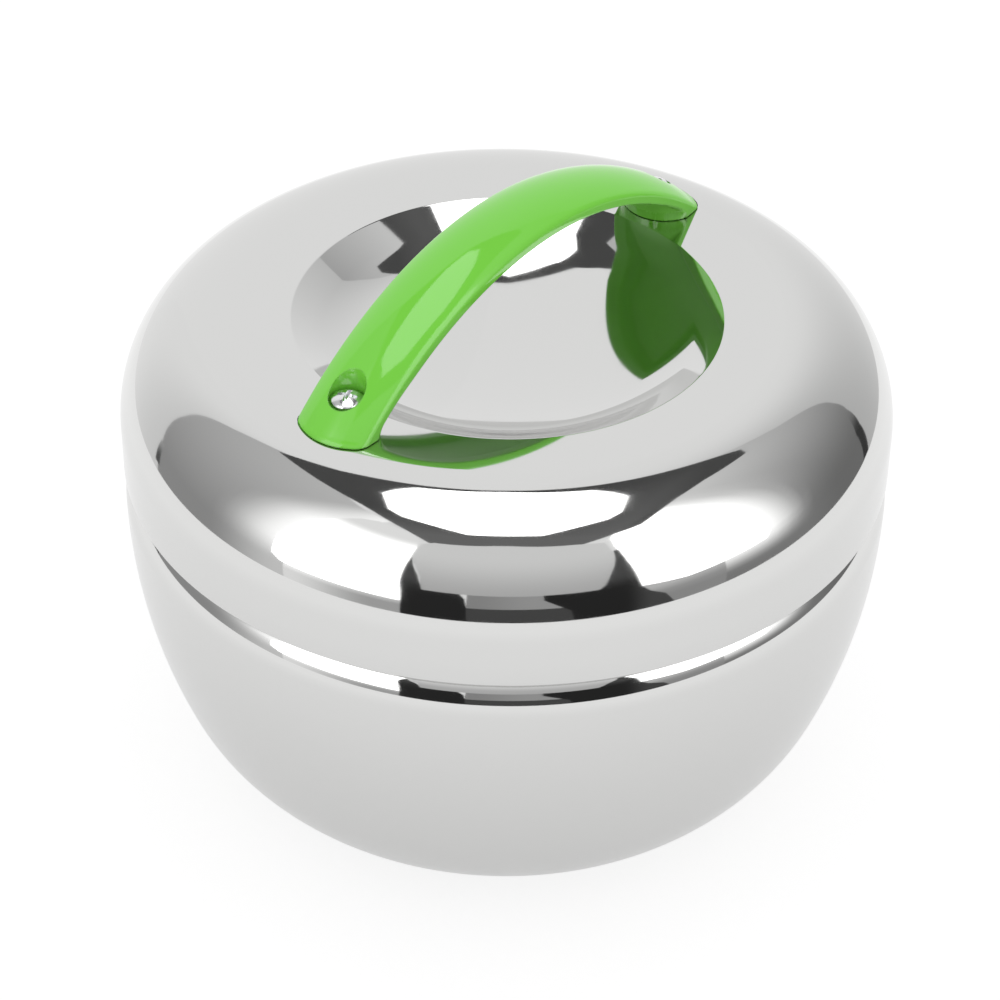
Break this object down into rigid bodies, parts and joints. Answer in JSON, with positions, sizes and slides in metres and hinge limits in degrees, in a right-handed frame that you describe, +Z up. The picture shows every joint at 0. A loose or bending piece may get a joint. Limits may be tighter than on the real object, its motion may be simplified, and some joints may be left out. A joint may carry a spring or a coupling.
{
  "type": "insulated lunch box",
  "caption": "Round double-walled food container of mirror-polished steel with a domed twist-off lid, a dished top and an arched plastic carrying handle held by screws.",
  "frame": {"origin": "middle of the flat base, on the floor", "axes": "+Z up along the axis of the bowl and lid, X along the carrying handle, Y across it"},
  "size_m": [0.17, 0.17, 0.1414],
  "materials": {
    "polished_steel": "mirror-polished stainless steel",
    "inner_steel": "satin stainless steel",
    "foam": "rigid polyurethane foam",
    "liner_plastic": "off-white polypropylene",
    "seal_silicone": "translucent silicone rubber",
    "handle_plastic": "glossy light green plastic",
    "pad_rubber": "black rubber",
    "zinc_steel": "bright zinc-plated steel"
  },
  "bodies": {
    "base": {"body_shell": "polished_steel", "body_foam": "foam", "food_bowl": "inner_steel", "mouth_ring": "liner_plastic"},
    "seal": {"lid_seal": "seal_silicone"},
    "lid": {"lid_shell": "polished_steel", "lid_foam": "foam", "lid_liner": "liner_plastic", "handle": "handle_plastic", "handle_foot_pads": "pad_rubber", "handle_screws": "zinc_steel"}
  },
  "joints": [
    {"name": "lid_rise", "type": "slide", "parent": "base", "child": "seal", "axis": [0, 0, 1], "range_m": [0, 0.0301]},
    {"name": "lid_turn", "type": "hinge", "parent": "seal", "child": "lid", "pos_m": [0, 0, 0.0933], "axis": [0, 0, 1], "range_deg": [0, 450]}
  ],
  "couplings": [
    {"joint": "lid_rise", "follows": "lid_turn", "m_per_rad": 0.0038197}
  ]
}
